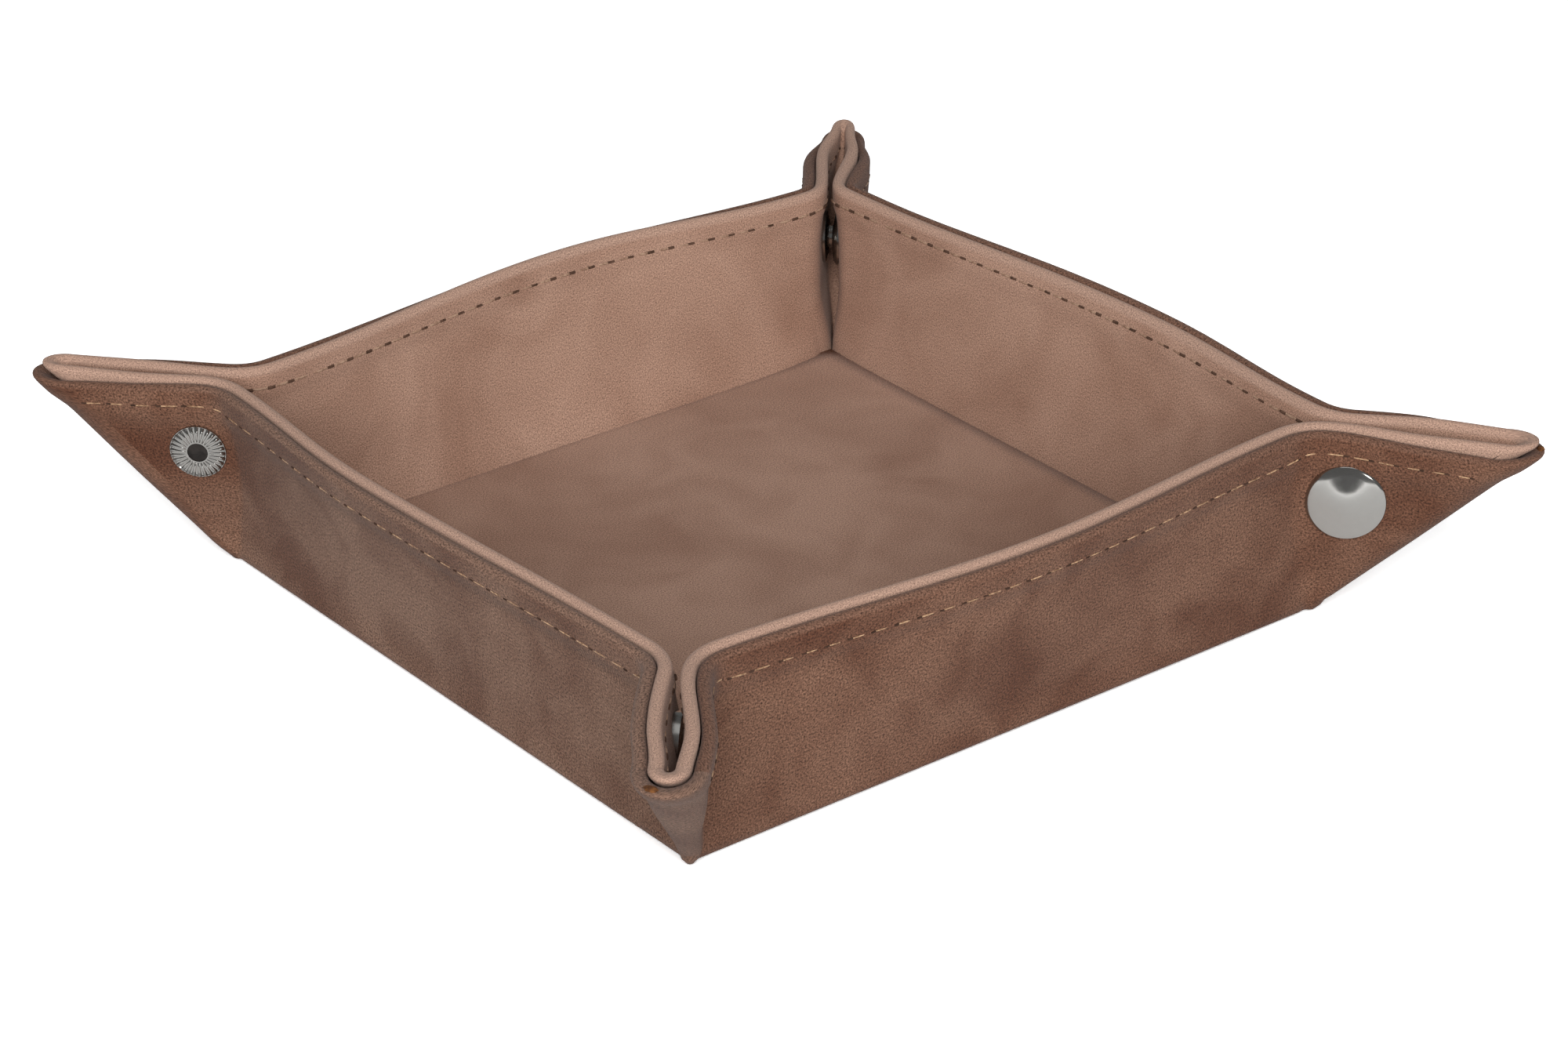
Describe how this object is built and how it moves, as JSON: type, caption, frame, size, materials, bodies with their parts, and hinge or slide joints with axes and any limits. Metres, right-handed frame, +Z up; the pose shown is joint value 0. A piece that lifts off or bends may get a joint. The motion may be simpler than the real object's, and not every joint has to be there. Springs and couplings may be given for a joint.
{
  "type": "valet tray",
  "caption": "Low rectangular leather catch-all tray whose bowed walls fold up from a flat sheet and are pinched into pointed corner ears held by round metal snaps.",
  "frame": {"origin": "centre of the base's underside", "axes": "+Z up out of the open top, +X along the longer pair of walls"},
  "size_m": [0.1752, 0.1702, 0.033],
  "materials": {
    "cover": "matte, mottled, darker outside",
    "lining": "matte, mottled, lighter inside",
    "board": "hidden fibre stiffener",
    "metal": "polished nickel plate"
  },
  "bodies": {
    "base": {"base_cover": "cover", "base_board": "board", "base_lining": "lining", "back_bend": "cover", "left_bend": "cover", "front_bend": "cover", "right_bend": "cover"},
    "back_wall": {"back_wall_cover": "cover", "back_wall_lining": "lining"},
    "back_cap_leaf": {"back_cap_leaf_cover": "cover", "back_cap_leaf_lining": "lining", "back_fold_cap_side": "cover", "back_snap_cap": "metal", "back_snap_socket": "metal"},
    "back_post_leaf": {"back_post_leaf_cover": "cover", "back_post_leaf_lining": "lining", "back_snap_post": "metal", "back_snap_stud": "metal"},
    "back_fold": {"back_fold_post_side": "cover"},
    "left_wall": {"left_wall_cover": "cover", "left_wall_lining": "lining"},
    "left_cap_leaf": {"left_cap_leaf_cover": "cover", "left_cap_leaf_lining": "lining", "left_fold_cap_side": "cover", "left_snap_cap": "metal", "left_snap_socket": "metal"},
    "left_post_leaf": {"left_post_leaf_cover": "cover", "left_post_leaf_lining": "lining", "left_snap_post": "metal", "left_snap_stud": "metal"},
    "left_fold": {"left_fold_post_side": "cover"},
    "front_wall": {"front_wall_cover": "cover", "front_wall_lining": "lining"},
    "front_cap_leaf": {"front_cap_leaf_cover": "cover", "front_cap_leaf_lining": "lining", "front_fold_cap_side": "cover", "front_snap_cap": "metal", "front_snap_socket": "metal"},
    "front_post_leaf": {"front_post_leaf_cover": "cover", "front_post_leaf_lining": "lining", "front_snap_post": "metal", "front_snap_stud": "metal"},
    "front_fold": {"front_fold_post_side": "cover"},
    "right_wall": {"right_wall_cover": "cover", "right_wall_lining": "lining"},
    "right_cap_leaf": {"right_cap_leaf_cover": "cover", "right_cap_leaf_lining": "lining", "right_fold_cap_side": "cover", "right_snap_cap": "metal", "right_snap_socket": "metal"},
    "right_post_leaf": {"right_post_leaf_cover": "cover", "right_post_leaf_lining": "lining", "right_snap_post": "metal", "right_snap_stud": "metal"},
    "right_fold": {"right_fold_post_side": "cover"}
  },
  "joints": [
    {"name": "front_wall_fold", "type": "hinge", "parent": "base", "child": "front_wall", "pos_m": [0, -0.0569, 0.0036], "axis": [1, 0, 0], "range_deg": [0, 75], "deforming": ["back_bend", "left_bend", "front_bend", "right_bend", "back_fold_cap_side", "back_fold_post_side", "left_fold_cap_side", "left_fold_post_side", "front_fold_cap_side", "front_fold_post_side", "right_fold_cap_side", "right_fold_post_side"]},
    {"name": "back_wall_fold", "type": "hinge", "parent": "base", "child": "back_wall", "pos_m": [0, 0.0569, 0.0036], "axis": [-1, 0, 0], "range_deg": [0, 75]},
    {"name": "back_cap_crease", "type": "hinge", "parent": "back_wall", "child": "back_cap_leaf", "pos_m": [-0.05657, 0.0569, 0.0036], "axis": [0, 0, 1], "range_deg": [0, 45]},
    {"name": "back_post_crease", "type": "hinge", "parent": "back_wall", "child": "back_post_leaf", "pos_m": [0.05657, 0.0569, 0.0036], "axis": [0, 0, -1], "range_deg": [0, 45]},
    {"name": "back_corner_fold", "type": "hinge", "parent": "back_cap_leaf", "child": "back_fold", "pos_m": [-0.05999, 0.05749, 0.0036], "axis": [0.5, -0.5, -0.7071], "range_deg": [0, 180]},
    {"name": "left_wall_fold", "type": "hinge", "parent": "base", "child": "left_wall", "pos_m": [-0.0594, 0, 0.0036], "axis": [0, -1, 0], "range_deg": [0, 75]},
    {"name": "left_cap_crease", "type": "hinge", "parent": "left_wall", "child": "left_cap_leaf", "pos_m": [-0.0594, -0.05407, 0.0036], "axis": [0, 0, 1], "range_deg": [0, 45]},
    {"name": "left_post_crease", "type": "hinge", "parent": "left_wall", "child": "left_post_leaf", "pos_m": [-0.0594, 0.05407, 0.0036], "axis": [0, 0, -1], "range_deg": [0, 45]},
    {"name": "left_corner_fold", "type": "hinge", "parent": "left_cap_leaf", "child": "left_fold", "pos_m": [-0.05999, -0.05749, 0.0036], "axis": [0.5, 0.5, -0.7071], "range_deg": [0, 180]},
    {"name": "front_cap_crease", "type": "hinge", "parent": "front_wall", "child": "front_cap_leaf", "pos_m": [0.05657, -0.0569, 0.0036], "axis": [0, 0, 1], "range_deg": [0, 45]},
    {"name": "front_post_crease", "type": "hinge", "parent": "front_wall", "child": "front_post_leaf", "pos_m": [-0.05657, -0.0569, 0.0036], "axis": [0, 0, -1], "range_deg": [0, 45]},
    {"name": "front_corner_fold", "type": "hinge", "parent": "front_cap_leaf", "child": "front_fold", "pos_m": [0.05999, -0.05749, 0.0036], "axis": [-0.5, 0.5, -0.7071], "range_deg": [0, 180]},
    {"name": "right_wall_fold", "type": "hinge", "parent": "base", "child": "right_wall", "pos_m": [0.0594, 0, 0.0036], "axis": [0, 1, 0], "range_deg": [0, 75]},
    {"name": "right_cap_crease", "type": "hinge", "parent": "right_wall", "child": "right_cap_leaf", "pos_m": [0.0594, 0.05407, 0.0036], "axis": [0, 0, 1], "range_deg": [0, 45]},
    {"name": "right_post_crease", "type": "hinge", "parent": "right_wall", "child": "right_post_leaf", "pos_m": [0.0594, -0.05407, 0.0036], "axis": [0, 0, -1], "range_deg": [0, 45]},
    {"name": "right_corner_fold", "type": "hinge", "parent": "right_cap_leaf", "child": "right_fold", "pos_m": [0.05999, 0.05749, 0.0036], "axis": [-0.5, -0.5, -0.7071], "range_deg": [0, 180]}
  ],
  "couplings": [
    {"joint": "back_cap_crease", "follows": "front_wall_fold", "ratio": 0.5168},
    {"joint": "back_post_crease", "follows": "front_wall_fold", "ratio": 0.5168},
    {"joint": "back_corner_fold", "follows": "front_wall_fold", "ratio": 2},
    {"joint": "back_wall_fold", "follows": "front_wall_fold", "ratio": 1},
    {"joint": "left_cap_crease", "follows": "front_wall_fold", "ratio": 0.5168},
    {"joint": "left_post_crease", "follows": "front_wall_fold", "ratio": 0.5168},
    {"joint": "left_corner_fold", "follows": "front_wall_fold", "ratio": 2},
    {"joint": "left_wall_fold", "follows": "front_wall_fold", "ratio": 1},
    {"joint": "front_cap_crease", "follows": "front_wall_fold", "ratio": 0.5168},
    {"joint": "front_post_crease", "follows": "front_wall_fold", "ratio": 0.5168},
    {"joint": "front_corner_fold", "follows": "front_wall_fold", "ratio": 2},
    {"joint": "right_cap_crease", "follows": "front_wall_fold", "ratio": 0.5168},
    {"joint": "right_post_crease", "follows": "front_wall_fold", "ratio": 0.5168},
    {"joint": "right_corner_fold", "follows": "front_wall_fold", "ratio": 2},
    {"joint": "right_wall_fold", "follows": "front_wall_fold", "ratio": 1}
  ]
}
